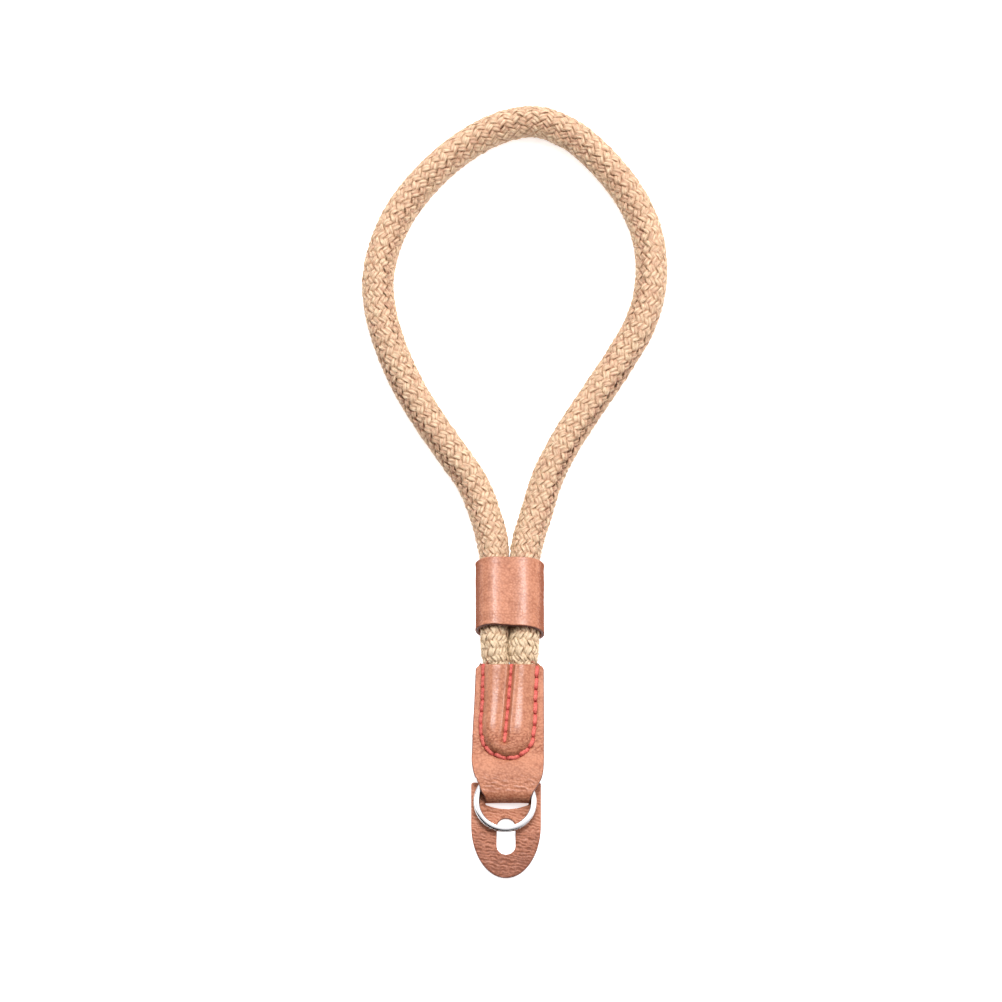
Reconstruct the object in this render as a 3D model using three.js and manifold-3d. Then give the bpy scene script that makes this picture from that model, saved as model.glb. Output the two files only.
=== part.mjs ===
// Camera wrist strap: a loop of thick braided cord that ends in a sewn leather tab, a steel split
// ring and a leather pad that keeps the ring off the camera. Millimetres, +Z up, lying on z = 0
// with the loop towards +Y. Lengths along the strap are measured from the pad's tip.
import * as THREE from 'three';
import { mergeVertices } from 'three/addons/utils/BufferGeometryUtils.js';
import Module from 'manifold-3d';

const wasm = await Module();
wasm.setup();

// --- Driving dimensions -------------------------------------------------------------------------

const STRAP_LENGTH = 262.9; // from the pad's tip to the top of the loop
const CLEARANCE = 0.25; // between pieces that rest against each other

const CORD_DIAMETER = 10;
const CORD_SIDES = 12;
const CORD_STEPS = 78;
const LEG_POINTS = 8; // points of the route that lie in one straight leg
const WELD_DISTANCE = 1e-4;
const MARGIN = 1; // how far a cutting shape reaches past what it cuts

const COLLAR = { start: 81.8, length: 22.9, wall: 1.1, play: 0.4, arcSteps: 10 };

const LEATHER = 1.1; // tab strip
const SEAM_HEIGHT = 4.6; // middle plane of the sewn panels above the surface
const TAB_MOUTH = 70.7; // the edge where the cord goes in
const TAB_SEAM_END = 38.6; // bottom of the U of stitches
const TAB_CORNER = 1.6; // corner radius at the mouth
const TAB_BACK_RISE = { from: 31.8, to: 39.6 }; // where the back panel leaves the surface
const TAB_EDGE_STEPS = 4;
const TAB_REACH = 20; // half width of the blocks the tab is cut from
const SLEEVE_SIDES = 20;
const SLEEVE_ROWS = [TAB_MOUTH, 68, 60, 52]; // sections of its straight part
const SLOPE_STEPS = 8;
const FOLD = { radius: 3.2, centre: 27.85 }; // half-round end of the folded strip

const RING = { outer: 10, width: 1.95, height: 2, chamfer: 0.35, centreX: -3, centreY: 24.8, tilt: 6.4 };
const RING_SEGMENTS = 48;

const PAD = { thickness: 1.3, halfWidth: 11.05, length: 31.9, tipLength: 18, centreX: -2.7, corner: 0.8 };
const PAD_RISE = { from: 20.2, to: 27 }; // where the pad climbs onto the tab's back panel
const PAD_EDGE_STEPS = 10;
const KEYHOLE = { start: 7.4, end: 20.2, halfWidth: 3.1 };
const SLOT = {
  start: 23.15, shoulder: 24.45, end: 27.1, halfWidth: 7.45, bow: 6.7, cornerReach: 0.3, shift: 0.4,
};

// --- Tables ------------------------------------------------------------------------------------

// The cord's route, lying on the surface. It starts and ends inside the tab, climbs through the
// collar and rests on the surface all round the loop.
const ROUTE = [
  [-6.4, 47.9, 4.6], [-5.5, 69.7, 4.9], [-6.45, 75.5, 5.9], [-6.35, 82, 6.4], [-6.35, 94, 6.45],
  [-6.35, 106, 6.4], [-7.1, 113.5, 5.7], [-9.1, 122, 5.1], [-13.4, 133.5, 5], [-19.5, 143.2, 5],
  [-26.5, 154, 5], [-33.5, 166.3, 5], [-39.2, 180, 5], [-42.6, 193, 5], [-43.3, 204, 5],
  [-41, 215.6, 5], [-35.4, 228.2, 5], [-26.2, 240.2, 5], [-15.4, 249.9, 5], [-4.6, 256, 5],
  [6.6, 258.1, 5], [17.6, 253.8, 5], [28.2, 244, 5], [37.2, 231.4, 5], [42.4, 217.6, 5],
  [43.3, 203, 5], [40, 188.6, 5], [32.6, 174.6, 5], [24.1, 160.8, 5], [16.2, 147.6, 5],
  [10.4, 135.2, 5], [6.8, 122.6, 5.1], [4.3, 113.5, 5.7], [3.2, 106, 6.4], [3.2, 94, 6.45],
  [3.2, 82, 6.4], [2.8, 75.5, 5.9], [2.8, 69.7, 4.9], [1.8, 47.9, 4.6],
].map(([x, y, z]) => new THREE.Vector3(x, y, z));

// How far the soft cord is squeezed where it is held, along the strap: the widths of the two legs
// and their height.
const SQUEEZE = [
  { y: 47.9, left: 6.6, right: 6.6, height: 6.4 },
  { y: 66, left: 6.6, right: 6.6, height: 6.4 },
  { y: 70, left: 7.1, right: 7.1, height: 6.8 },
  { y: 72, left: 7.8, right: 8.7, height: 8.2 },
  { y: 75.5, left: 8.2, right: 9.8, height: 9.2 },
  { y: 82, left: 9, right: 9.3, height: 9.9 },
  { y: 105, left: 9, right: 9.3, height: 9.9 },
  { y: 114, left: CORD_DIAMETER, right: CORD_DIAMETER, height: CORD_DIAMETER },
];

// Outline of the tab seen from above. The strip is narrowest where it is folded.
const TAB_OUTLINE = [
  { y: 24, centre: -2.3, halfWidth: 6.9 },
  { y: 26, centre: -2.3, halfWidth: 6.9 },
  { y: 27.3, centre: -2.3, halfWidth: 6.95 },
  { y: 29.9, centre: -1.85, halfWidth: 9.5 },
  { y: 32.8, centre: -1.95, halfWidth: 10.8 },
  { y: 36, centre: -2.1, halfWidth: 11.35 },
  { y: 43.6, centre: -2.05, halfWidth: 11.4 },
  { y: 57, centre: -1.75, halfWidth: 11.1 },
  { y: TAB_MOUTH, centre: -1.5, halfWidth: 10.8 },
];

// Outer face of the front panel seen from the side. It rides over the ring.
const TAB_FRONT = [
  { y: FOLD.centre, z: 2 * FOLD.radius },
  { y: 31, z: 7.1 },
  { y: 34.4, z: 7.3 },
  { y: TAB_SEAM_END, z: 6.6 },
  { y: 44, z: SEAM_HEIGHT + LEATHER },
];

// The dome that closes each sleeve beyond the cord's end, as shares of the sleeve's section.
const DOME = [
  { y: 46.6, share: 1 },
  { y: 43.4, share: 0.86 },
  { y: 40.6, share: 0.5 },
  { y: 39.2, share: 0.2 },
];

// --- Helpers -----------------------------------------------------------------------------------

const ACROSS = new THREE.Vector3(1, 0, 0);
const UP = new THREE.Vector3(0, 0, 1);

function finish(colour, roughness, metalness = 0) {
  return new THREE.MeshStandardMaterial({ color: colour, roughness, metalness });
}

function between(table, y, column) {
  const last = table.length - 1;
  const next = table.findIndex((row) => row.y > y);
  if (next === 0) return table[0][column];
  if (next < 0) return table[last][column];
  const low = table[next - 1];
  const high = table[next];
  return THREE.MathUtils.mapLinear(y, low.y, high.y, low[column], high[column]);
}

function toSolid(geometry) {
  const bare = geometry.clone();
  bare.deleteAttribute('normal');
  bare.deleteAttribute('uv');
  const merged = mergeVertices(bare, WELD_DISTANCE);
  return new wasm.Manifold(new wasm.Mesh({
    numProp: 3,
    vertProperties: merged.attributes.position.array,
    triVerts: Uint32Array.from(merged.index.array),
  }));
}

function toGeometry(solid) {
  const mesh = solid.getMesh();
  const geometry = new THREE.BufferGeometry();
  geometry.setAttribute('position', new THREE.BufferAttribute(mesh.vertProperties, mesh.numProp));
  geometry.setIndex(new THREE.BufferAttribute(mesh.triVerts, 1));
  return geometry;
}

// Extrudes a shape drawn in the X-Y plane upwards.
function extrudeUp(shape, bottom, top, curveSegments) {
  const options = { depth: top - bottom, bevelEnabled: false, curveSegments };
  return new THREE.ExtrudeGeometry(shape, options).translate(0, 0, bottom);
}

// Extrudes a shape drawn as (along the strap, height) sideways.
function extrudeAcross(shape, left, right) {
  const turn = new THREE.Matrix4().makeBasis(
    new THREE.Vector3(0, 1, 0),
    new THREE.Vector3(0, 0, 1),
    new THREE.Vector3(1, 0, 0),
  );
  const geometry = new THREE.ExtrudeGeometry(shape, { depth: right - left, bevelEnabled: false });
  return geometry.applyMatrix4(turn).translate(left, 0, 0);
}

// A closed skin through sections of equally many points, with flat ends.
function loft(sections) {
  const count = sections[0].length;
  const positions = sections.flat().flatMap((p) => [p.x, p.y, p.z]);
  const faces = [];
  for (let row = 0; row + 1 < sections.length; row += 1) {
    for (let i = 0; i < count; i += 1) {
      const a = row * count + i;
      const b = row * count + ((i + 1) % count);
      faces.push(a, b, a + count, b, b + count, a + count);
    }
  }
  const end = (sections.length - 1) * count;
  for (let i = 1; i + 1 < count; i += 1) {
    faces.push(0, i + 1, i, end, end + i, end + i + 1);
  }
  const geometry = new THREE.BufferGeometry();
  geometry.setAttribute('position', new THREE.Float32BufferAttribute(positions, 3));
  geometry.setIndex(faces);
  return geometry;
}

// Points of an ellipse round a centre, in the plane of two directions.
function ellipse(centre, across, up, halfWidth, halfHeight, sides) {
  return Array.from({ length: sides }, (_, i) => {
    const angle = (2 * Math.PI * i) / sides;
    return centre.clone()
      .addScaledVector(across, halfWidth * Math.cos(angle))
      .addScaledVector(up, halfHeight * Math.sin(angle));
  });
}

// --- Cord --------------------------------------------------------------------------------------

// Where a leg of the cord passes a given length along the strap.
function legAt(side, y) {
  const points = side < 0 ? ROUTE : [...ROUTE].reverse();
  const table = points.slice(0, LEG_POINTS).map((p) => ({ y: p.y, x: p.x, z: p.z }));
  return new THREE.Vector3(between(table, y, 'x'), y, between(table, y, 'z'));
}

// The column of the squeeze table that holds the width of the leg on one side.
function leg(side) {
  return side < 0 ? 'left' : 'right';
}

// One closed tube along the route, grown all round where it serves to cut its own pocket.
function cordGeometry(grow) {
  const route = ROUTE.map((p) => p.clone());
  route[0].y -= grow;
  route[route.length - 1].y -= grow;
  const path = new THREE.CatmullRomCurve3(route);
  const sections = path.getSpacedPoints(CORD_STEPS).map((centre, i) => {
    const along = path.getTangentAt(i / CORD_STEPS);
    const across = new THREE.Vector3().crossVectors(UP, along).normalize();
    const up = new THREE.Vector3().crossVectors(along, across);
    const halfWidth = between(SQUEEZE, centre.y, leg(centre.x)) / 2 + grow;
    const halfHeight = between(SQUEEZE, centre.y, 'height') / 2 + grow;
    return ellipse(centre, across, up, halfWidth, halfHeight, CORD_SIDES);
  });
  return loft(sections);
}

// --- Collar ------------------------------------------------------------------------------------

// A stadium: two half circles joined by straight lines, its centre at the origin.
function stadium(Outline, halfWidth, halfHeight) {
  const outline = new Outline();
  const reach = halfWidth - halfHeight;
  outline.absarc(reach, 0, halfHeight, -Math.PI / 2, Math.PI / 2, false);
  outline.absarc(-reach, 0, halfHeight, Math.PI / 2, 1.5 * Math.PI, false);
  outline.closePath();
  return outline;
}

function collarGeometry() {
  const held = SQUEEZE[SQUEEZE.length - 2];
  const right = legAt(1, held.y).x + held.right / 2;
  const left = legAt(-1, held.y).x - held.left / 2;
  const halfWidth = (right - left) / 2 + COLLAR.play;
  const halfHeight = held.height / 2 + COLLAR.play;
  const ring = stadium(THREE.Shape, halfWidth + COLLAR.wall, halfHeight + COLLAR.wall);
  ring.holes.push(stadium(THREE.Path, halfWidth, halfHeight));
  const options = { depth: COLLAR.length, bevelEnabled: false, curveSegments: COLLAR.arcSteps };
  const geometry = new THREE.ExtrudeGeometry(ring, options);
  geometry.rotateX(Math.PI / 2);
  const end = COLLAR.start + COLLAR.length;
  return geometry.translate((left + right) / 2, end, halfHeight + COLLAR.wall);
}

// --- Tab ---------------------------------------------------------------------------------------

function tabPlan() {
  const last = TAB_OUTLINE[TAB_OUTLINE.length - 1];
  const edge = (side) => TAB_OUTLINE.slice(0, -1).map((row) => (
    new THREE.Vector2(row.centre + side * row.halfWidth, row.y)
  ));
  const right = last.centre + last.halfWidth;
  const left = last.centre - last.halfWidth;
  const plan = new THREE.Shape();
  const rightEdge = edge(1);
  plan.moveTo(rightEdge[0].x, rightEdge[0].y);
  plan.splineThru([...rightEdge.slice(1), new THREE.Vector2(right, last.y - TAB_CORNER)]);
  plan.quadraticCurveTo(right, last.y, right - TAB_CORNER, last.y);
  plan.lineTo(left + TAB_CORNER, last.y);
  plan.quadraticCurveTo(left, last.y, left, last.y - TAB_CORNER);
  plan.splineThru(edge(-1).reverse());
  plan.closePath();
  return plan;
}

// A slope that eases from one height to another, as points of a side view.
function slope(range, height, end) {
  return Array.from({ length: SLOPE_STEPS + 1 }, (_, i) => {
    const y = THREE.MathUtils.lerp(range.from, Math.min(range.to, end), i / SLOPE_STEPS);
    return new THREE.Vector2(y, height * THREE.MathUtils.smoothstep(y, range.from, range.to));
  });
}

// The side view of the folded strip, drawn an inset inside its outer faces.
function tabSide(inset, end) {
  const back = slope(TAB_BACK_RISE, SEAM_HEIGHT - LEATHER, end);
  const front = TAB_FRONT.filter((row) => row.y <= end)
    .map((row) => new THREE.Vector2(row.y, row.z - inset))
    .reverse();
  const side = new THREE.Shape();
  side.moveTo(FOLD.centre, inset);
  back.forEach((p) => side.lineTo(p.x, p.y + inset));
  side.lineTo(end, back[SLOPE_STEPS].y + inset);
  side.lineTo(end, front[0].y);
  side.lineTo(front[0].x, front[0].y);
  side.splineThru(front.slice(1));
  side.absarc(FOLD.centre, FOLD.radius, FOLD.radius - inset, Math.PI / 2, 1.5 * Math.PI, false);
  return side;
}

// The leather over one end of the cord: the cord's section grown by the leather, then a dome.
function sleeve(side) {
  const wall = CLEARANCE + LEATHER;
  const section = (y, share) => {
    const held = Math.max(y, ROUTE[0].y);
    const centre = legAt(side, held);
    const halfWidth = (between(SQUEEZE, held, leg(side)) / 2 + wall) * share;
    const halfHeight = (between(SQUEEZE, held, 'height') / 2 + wall) * share;
    centre.y = y;
    return ellipse(centre, ACROSS, UP, halfWidth, halfHeight, SLEEVE_SIDES);
  };
  return toSolid(loft([
    ...SLEEVE_ROWS.map((y) => section(y, 1)),
    ...DOME.map((row) => section(row.y, row.share)),
  ]));
}

function tabGeometry() {
  const plan = toSolid(extrudeUp(tabPlan(), -MARGIN, TAB_REACH, TAB_EDGE_STEPS));
  const folded = toSolid(extrudeAcross(tabSide(0, TAB_MOUTH), -TAB_REACH, TAB_REACH));
  const eye = toSolid(extrudeAcross(tabSide(LEATHER, TAB_SEAM_END), -TAB_REACH, TAB_REACH));
  const leather = plan.intersect(folded).add(sleeve(-1)).add(sleeve(1));
  return toGeometry(leather.subtract(eye).subtract(toSolid(cordGeometry(CLEARANCE))));
}

// --- Split ring --------------------------------------------------------------------------------

function ringGeometry() {
  const { outer, width, height, chamfer } = RING;
  const inner = outer - width;
  const half = height / 2;
  const profile = [
    [inner + chamfer, -half], [outer - chamfer, -half], [outer, chamfer - half],
    [outer, half - chamfer], [outer - chamfer, half], [inner + chamfer, half],
    [inner, half - chamfer], [inner, chamfer - half], [inner + chamfer, -half],
  ].map(([radius, z]) => new THREE.Vector2(radius, z));
  return new THREE.LatheGeometry(profile, RING_SEGMENTS).rotateX(Math.PI / 2);
}

// The ring lies on the pad's flat part and on the edge that the pad lifts onto the tab.
function placeRing(ring) {
  const tilt = THREE.MathUtils.degToRad(RING.tilt);
  const lowest = PAD.thickness + CLEARANCE;
  const rise = RING.outer * Math.sin(tilt) + (RING.height / 2) * Math.cos(tilt);
  ring.position.set(RING.centreX, RING.centreY, lowest + rise);
  ring.rotation.x = tilt;
}

// --- Camera pad --------------------------------------------------------------------------------

function keyhole() {
  const { start, end, halfWidth } = KEYHOLE;
  const hole = new THREE.Path();
  hole.absarc(0, start + halfWidth, halfWidth, Math.PI, 2 * Math.PI, false);
  hole.absarc(0, end - halfWidth, halfWidth, 0, Math.PI, false);
  hole.closePath();
  return hole;
}

// The slot that the folded strip passes through: its lower edge is bowed by the leather.
function slot() {
  const { start, shoulder, end, halfWidth, bow, cornerReach, shift } = SLOT;
  const left = shift - halfWidth;
  const right = shift + halfWidth;
  const hole = new THREE.Path();
  hole.moveTo(left, shoulder);
  hole.lineTo(shift - bow, shoulder);
  hole.quadraticCurveTo(shift, 2 * start - shoulder, shift + bow, shoulder);
  hole.lineTo(right, shoulder);
  hole.quadraticCurveTo(right, end, right - cornerReach, end);
  hole.lineTo(left + cornerReach, end);
  hole.quadraticCurveTo(left, end, left, shoulder);
  hole.closePath();
  return hole;
}

function padGeometry() {
  const { thickness, halfWidth, length, tipLength, corner } = PAD;
  const plan = new THREE.Shape();
  plan.absellipse(0, tipLength, halfWidth, tipLength, Math.PI, 2 * Math.PI, false, 0);
  plan.lineTo(halfWidth, length - corner);
  plan.quadraticCurveTo(halfWidth, length, halfWidth - corner, length);
  plan.lineTo(corner - halfWidth, length);
  plan.quadraticCurveTo(-halfWidth, length, -halfWidth, length - corner);
  plan.closePath();
  plan.holes.push(keyhole(), slot());

  const lift = LEATHER + CLEARANCE;
  const climb = slope(PAD_RISE, lift, PAD_RISE.to);
  const level = new THREE.Vector2(length + MARGIN, lift);
  const under = [new THREE.Vector2(-MARGIN, 0), ...climb, level];
  const over = under.map((p) => new THREE.Vector2(p.x, p.y + thickness)).reverse();
  const side = new THREE.Shape([...under, ...over]);
  const bent = toSolid(extrudeAcross(side, -halfWidth - MARGIN, halfWidth + MARGIN));
  const cut = toSolid(extrudeUp(plan, -MARGIN, lift + thickness + MARGIN, PAD_EDGE_STEPS));
  return toGeometry(cut.intersect(bent)).translate(PAD.centreX, 0, 0);
}

// --- Assembly ----------------------------------------------------------------------------------

const tan = '#d9955f';
const strap = new THREE.Group();
strap.position.y = -STRAP_LENGTH / 2;

function addPart(name, geometry, material) {
  const part = new THREE.Mesh(geometry, material);
  part.name = name;
  strap.add(part);
  return part;
}

addPart('cord_loop', cordGeometry(0), finish('#e8c79c', 0.9));
addPart('collar', collarGeometry(), finish(tan, 0.5));
addPart('tab', tabGeometry(), finish(tan, 0.55));
placeRing(addPart('split_ring', ringGeometry(), finish('#d5d7da', 0.15, 1)));
addPart('camera_pad', padGeometry(), finish('#b9764f', 0.65));

const object = new THREE.Group();
object.add(strap);
export default object;
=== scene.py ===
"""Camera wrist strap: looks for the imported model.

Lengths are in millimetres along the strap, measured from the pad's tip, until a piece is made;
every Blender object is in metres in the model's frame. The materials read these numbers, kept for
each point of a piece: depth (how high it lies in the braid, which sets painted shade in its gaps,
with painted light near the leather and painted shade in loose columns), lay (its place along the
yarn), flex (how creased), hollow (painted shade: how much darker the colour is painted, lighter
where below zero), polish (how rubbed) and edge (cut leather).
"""
import math

import bmesh
import bpy
import numpy as np
from mathutils import Euler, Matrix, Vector, noise


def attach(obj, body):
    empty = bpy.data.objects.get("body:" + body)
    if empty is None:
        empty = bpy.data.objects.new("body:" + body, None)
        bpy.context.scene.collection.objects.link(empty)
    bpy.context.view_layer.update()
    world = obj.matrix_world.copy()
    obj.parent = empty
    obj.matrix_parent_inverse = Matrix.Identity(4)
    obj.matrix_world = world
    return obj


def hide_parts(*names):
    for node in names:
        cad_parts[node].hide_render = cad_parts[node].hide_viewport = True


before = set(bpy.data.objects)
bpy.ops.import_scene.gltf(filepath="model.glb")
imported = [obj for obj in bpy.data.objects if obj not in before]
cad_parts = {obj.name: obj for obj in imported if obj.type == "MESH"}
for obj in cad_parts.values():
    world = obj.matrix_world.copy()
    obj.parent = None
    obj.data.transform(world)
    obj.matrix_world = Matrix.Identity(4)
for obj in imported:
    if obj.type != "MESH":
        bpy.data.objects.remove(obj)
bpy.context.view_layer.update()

MM = 0.001
STRAP_LENGTH = 262.9  # from the pad's tip to the top of the loop
HALF_LENGTH = STRAP_LENGTH / 2
UP = np.array([0.0, 0.0, 1.0])

# --- Sizes ----------------------------------------------------------------------------------------
# They are the imported model's, apart from a few that were fitted closer to the photo: the cord's
# width near the leather, the ring's band, and the pad's hole and slot, the slot by most (13.6 mm
# wide, not 14.9).

ROUTE = np.array([
    [-6.4, 47.9, 4.6], [-5.5, 69.7, 4.9], [-6.35, 75.5, 5.9], [-6.25, 82, 6.4], [-6.25, 94, 6.45],
    [-6.35, 106, 6.4], [-7.1, 113.5, 5.7], [-9.1, 122, 5.1], [-13.4, 133.5, 5], [-19.5, 143.2, 5],
    [-26.5, 154, 5], [-33.5, 166.3, 5], [-39.2, 180, 5], [-42.6, 193, 5], [-43.3, 204, 5],
    [-41, 215.6, 5], [-35.4, 228.2, 5], [-26.2, 240.2, 5], [-15.4, 249.9, 5], [-4.6, 256, 5],
    [6.6, 258.1, 5], [17.6, 253.8, 5], [28.2, 244, 5], [37.2, 231.4, 5], [42.4, 217.6, 5],
    [43.3, 203, 5], [40, 188.6, 5], [32.6, 174.6, 5], [24.1, 160.8, 5], [16.2, 147.6, 5],
    [10.4, 135.2, 5], [6.8, 122.6, 5.1], [4.3, 113.5, 5.7], [3.2, 106, 6.4], [3.1, 94, 6.45],
    [3.1, 82, 6.4], [2.7, 75.5, 5.9], [2.8, 69.7, 4.9], [1.8, 47.9, 4.6],
])
CORD_DIAMETER = 10.0
# Along the strap: widths of the left and right leg of the cord where it is held, and their height.
SQUEEZE = np.array([
    [47.9, 6.6, 6.6, 6.4], [66, 6.6, 6.6, 6.4], [70, 7.6, 7.6, 6.8], [72, 8.3, 8.9, 8.2],
    [75.5, 8.4, 10, 9.2], [82, 9.2, 9.5, 9.9], [94, 9.2, 9.5, 9.9], [105, 9, 9.3, 9.9],
    [114, 10, 10, 10],
])

COLLAR_START, COLLAR_LENGTH, COLLAR_CENTRE, COLLAR_WALL = 81.8, 22.9, -1.5, 1.1
COLLAR_HALF_WIDTH, COLLAR_HALF_HEIGHT = 10.8, 6.45

LEATHER = 1.1
SEAM_HEIGHT = 4.6
TAB_MOUTH, TAB_CORNER = 70.7, 1.6
FOLD_RADIUS, FOLD_CENTRE = 3.2, 27.85
BACK_RISE = (31.8, 39.6)
# Along the strap: middle and half width of the strip.
TAB_OUTLINE = np.array([
    [24, -2.3, 6.9], [26, -2.3, 6.9], [27.3, -2.3, 6.95], [29.9, -1.85, 9.5], [32.8, -1.95, 10.8],
    [36, -2.1, 11.35], [43.6, -2.05, 11.4], [57, -1.75, 11.1], [70.7, -1.5, 10.8],
])
# Along the strap: half width of the strip's front down to the fold.
FRONT_TAPER = np.array([
    [24.6, 7.05], [25.6, 7.3], [26.6, 7.9], [27.8, 8.6], [30, 9.7], [31.7, 10.5], [33.8, 11.1],
    [36, 11.35],
])
# Along the strap: outer face of the front panel.
TAB_FRONT = np.array([[27.85, 6.4], [31, 7.1], [34.4, 7.3], [38.6, 6.6], [44, 5.7], [72, 5.7]])

RING_OUTER, RING_WIDTH, RING_TILT = 9.95, 1.8, math.radians(6.4)
RING_CENTRE = (-3.0, 24.8, 3.6585)

PAD_THICKNESS, PAD_HALF_WIDTH, PAD_LENGTH, PAD_TIP, PAD_CENTRE = 1.3, 11.05, 31.9, 18.0, -2.7
PAD_CORNER, PAD_RISE, PAD_LIFT = 0.8, (20.2, 27.0), 1.35
KEYHOLE = (7.9, 20.2, 2.95)  # start, end, half width
SLOT_START, SLOT_SHOULDER, SLOT_END, SLOT_CORNER = 23.15, 24.45, 27.1, 0.3
SLOT_HALF_WIDTH, SLOT_BOW, SLOT_SHIFT = 6.8, 6.7, 0.3

# --- Helpers --------------------------------------------------------------------------------------


def to_frame(points):
    """Millimetres along the strap to metres in the model's frame."""
    moved = np.array(points, dtype=float)
    moved[..., 1] -= HALF_LENGTH
    return moved * MM


def smoothstep(x, low, high):
    t = np.clip((np.asarray(x, dtype=float) - low) / (high - low), 0, 1)
    return t * t * (3 - 2 * t)


def unit(vectors):
    return vectors / np.linalg.norm(vectors, axis=-1, keepdims=True)


def curve_through(table, y, column):
    """A smooth curve through the rows of a table, read at y."""
    ys, values = table[:, 0], table[:, column]
    slopes = np.gradient(values, ys)
    y = np.clip(y, ys[0], ys[-1])
    k = np.clip(np.searchsorted(ys, y, side="right") - 1, 0, len(ys) - 2)
    step = ys[k + 1] - ys[k]
    t = (y - ys[k]) / step
    rise = (2 * t**3 - 3 * t**2 + 1) * values[k] + (3 * t**2 - 2 * t**3) * values[k + 1]
    return rise + step * ((t**3 - 2 * t**2 + t) * slopes[k] + (t**3 - t**2) * slopes[k + 1])


def run_along(path):
    """How far each point of a path is along it."""
    return np.concatenate([[0], np.cumsum(np.linalg.norm(np.diff(path, axis=0), axis=1))])


def smooth_noise(points, size, seed):
    """Noise between about -1 and 1 whose lumps are about size across."""
    offset = Vector((seed * 17.3, seed * 5.1, seed * 9.7))
    flat = np.asarray(points, dtype=float).reshape(-1, 3) / size
    values = [noise.noise(Vector(p) + offset) for p in flat]
    return np.array(values).reshape(np.shape(points)[:-1])


def new_object(name, data):
    thing = bpy.data.objects.new(name, data)
    bpy.context.scene.collection.objects.link(thing)
    return thing


def make_piece(name, points, faces, material, body):
    """One smooth mesh object from points in millimetres, with its faces turned outwards."""
    mesh = bpy.data.meshes.new(name)
    mesh.from_pydata(to_frame(points).reshape(-1, 3).tolist(), [], faces)
    mesh.polygons.foreach_set("use_smooth", [True] * len(mesh.polygons))
    turned = bmesh.new()
    turned.from_mesh(mesh)
    if turned.calc_volume(signed=True) < 0:
        bmesh.ops.reverse_faces(turned, faces=turned.faces[:])
    turned.to_mesh(mesh)
    turned.free()
    mesh.materials.append(material)
    piece = new_object(name, mesh)
    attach(piece, body)
    return piece


def store(piece, name, values):
    """Keeps a number, or a row of three, for each point of a piece."""
    values = np.asarray(values, dtype=np.float32)
    kind = "FLOAT_VECTOR" if values.ndim == 2 else "FLOAT"
    data = piece.data.attributes.new(name, kind, "POINT").data
    data.foreach_set("vector" if values.ndim == 2 else "value", values.ravel())


def tube_faces(rings, sides, first=0):
    """Faces of a closed tube with flat ends, its rings stored one after another."""
    ring, side = np.meshgrid(np.arange(rings - 1), np.arange(sides), indexing="ij")
    a = first + ring * sides + side
    b = first + ring * sides + (side + 1) % sides
    quads = np.stack([a, b, b + sides, a + sides], axis=-1).reshape(-1, 4).tolist()
    last = first + (rings - 1) * sides
    return quads + [list(range(first + sides - 1, first - 1, -1)), list(range(last, last + sides))]


def sweep(centres, lateral, normal, section):
    """Points of a section carried along centres: section is (across, up), one pair a point."""
    across = section[..., 0][..., None] * lateral[..., None, :]
    up = section[..., 1][..., None] * normal[..., None, :]
    return centres[..., None, :] + across + up


def srgb(red, green, blue):
    def linear(value):
        share = value / 255
        return share / 12.92 if share <= 0.04045 else ((share + 0.055) / 1.055) ** 2.4

    return (linear(red), linear(green), linear(blue), 1)


def new_material(name):
    material = bpy.data.materials.new(name)
    material.use_nodes = True
    return material, material.node_tree, material.node_tree.nodes["Principled BSDF"]


def add(tree, kind, inputs=None, **settings):
    """A shader node with its settings, and its inputs set or linked."""
    node = tree.nodes.new(kind)
    for key, value in settings.items():
        setattr(node, key, value)
    for key, value in (inputs or {}).items():
        if isinstance(value, bpy.types.NodeSocket):
            tree.links.new(value, node.inputs[key])
        else:
            node.inputs[key].default_value = value
    return node


def attribute(tree, name, output="Fac"):
    return add(tree, "ShaderNodeAttribute", attribute_name=name).outputs[output]


def ramp(tree, factor, stops):
    """A colour ramp through (position, colour) stops."""
    node = add(tree, "ShaderNodeValToRGB", {"Fac": factor})
    elements = node.color_ramp.elements
    elements[0].position, elements[0].color = stops[0]
    elements[1].position, elements[1].color = stops[-1]
    for position, colour in stops[1:-1]:
        elements.new(position).color = colour
    return node.outputs["Color"]


def maths(tree, operation, *values):
    node = tree.nodes.new("ShaderNodeMath")
    node.operation = operation
    for socket, value in zip(node.inputs, values):
        if isinstance(value, bpy.types.NodeSocket):
            tree.links.new(value, socket)
        else:
            socket.default_value = value
    return node.outputs[0]


# --- Camera ---------------------------------------------------------------------------------------

CAMERA_DISTANCE = 13.0
CAMERA_ELEVATION = math.radians(67.2)
SENSOR_WIDTH = 36
FRAME_WIDTH = 0.3176
AIM = Vector((-0.0043, -0.0021, 0))

camera_data = bpy.data.cameras.new("camera")
camera_data.sensor_width = SENSOR_WIDTH
camera_data.lens = SENSOR_WIDTH * CAMERA_DISTANCE / FRAME_WIDTH
camera_data.clip_end = 100
camera = new_object("camera", camera_data)
away = Vector((0, -math.cos(CAMERA_ELEVATION), math.sin(CAMERA_ELEVATION)))
camera.location = AIM + away * CAMERA_DISTANCE
camera.rotation_euler = Euler((math.pi / 2 - CAMERA_ELEVATION, 0, 0))
bpy.context.scene.camera = camera

# --- Materials ------------------------------------------------------------------------------------


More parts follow.
